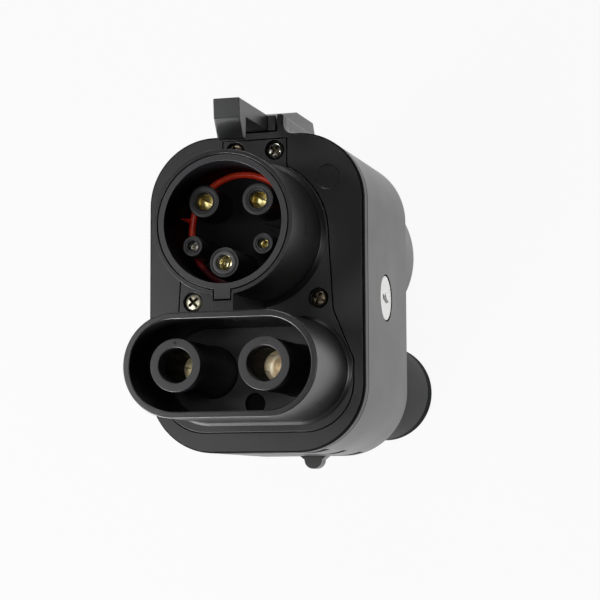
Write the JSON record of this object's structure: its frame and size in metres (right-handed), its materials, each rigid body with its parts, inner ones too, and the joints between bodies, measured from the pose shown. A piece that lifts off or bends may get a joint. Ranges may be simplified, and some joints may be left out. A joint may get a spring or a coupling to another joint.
{
  "type": "electric vehicle charging adapter",
  "caption": "Compact adapter between a car's charging inlet and a different plug: round keyed nose with latch lever, racetrack shroud below, rounded body and two deep rear collars.",
  "frame": {"origin": "under the middle of the outline, on the surface that the two rear collars stand on", "axes": "+Z from the rear collars to the plug nose, +Y towards the latch lever, +X towards the side badge"},
  "size_m": [0.069, 0.1138, 0.1335],
  "materials": {
    "housing_plastic": "fine grained matt",
    "cover_plastic": "fine grained matt",
    "nose_plastic": "smooth matt",
    "insulator_plastic": "smooth matt",
    "inlet_plastic": "smooth matt",
    "lever_plastic": "fine grained matt",
    "seal_rubber": "matt",
    "red_silicone": "satin",
    "contact_brass": "turned, dull",
    "contact_silver": "silver plated",
    "copper": "bare",
    "zinc_steel": "zinc plated",
    "spring_steel": "plain",
    "board": "lacquered",
    "badge": "satin"
  },
  "bodies": {
    "adapter": {"main_housing": "housing_plastic", "front_cover": "cover_plastic", "cover_gasket": "seal_rubber", "nose_moulding": "nose_plastic", "round_sleeve": "nose_plastic", "dc_shroud": "nose_plastic", "nose_barrel": "insulator_plastic", "socket_insulator": "insulator_plastic", "l1_tube": "insulator_plastic", "n_tube": "insulator_plastic", "pe_tube": "insulator_plastic", "pp_tube": "insulator_plastic", "cp_tube": "insulator_plastic", "seal_ring": "red_silicone", "l1_socket": "contact_brass", "n_socket": "contact_brass", "pe_socket": "contact_silver", "pp_socket": "contact_silver", "cp_socket": "contact_brass", "signal_board": "board", "dc_carrier": "insulator_plastic", "dc_plus_tube": "insulator_plastic", "dc_minus_tube": "insulator_plastic", "dc_plus_socket": "contact_silver", "dc_plus_pin": "contact_silver", "dc_plus_busbar": "copper", "dc_minus_socket": "contact_silver", "dc_minus_pin": "contact_silver", "dc_minus_busbar": "copper", "l1_pin": "contact_silver", "n_pin": "contact_silver", "pe_pin": "contact_silver", "pp_pin": "contact_silver", "cp_pin": "contact_silver", "l1_wire": "copper", "n_wire": "copper", "pe_wire": "copper", "pp_wire": "copper", "cp_wire": "copper", "rear_inlet": "inlet_plastic", "round_collar": "inlet_plastic", "dc_collar": "inlet_plastic", "dc_rim_seal": "seal_rubber", "rear_ac_insert": "insulator_plastic", "rear_ac_base": "insulator_plastic", "rear_dc_insert": "insulator_plastic", "nose_screws": "zinc_steel", "rear_screws": "zinc_steel", "latch_pin": "spring_steel", "latch_spring": "spring_steel", "side_badge": "badge"},
    "lever": {"latch_lever": "lever_plastic"}
  },
  "joints": [
    {"name": "latch_hinge", "type": "hinge", "parent": "adapter", "child": "lever", "pos_m": [0, 0.0492, 0.09], "axis": [-1, 0, 0], "range_deg": [0, 6], "stiffness_Nm_per_rad": 0.5, "springref_deg": -5.73, "deforming": ["latch_spring"]}
  ]
}
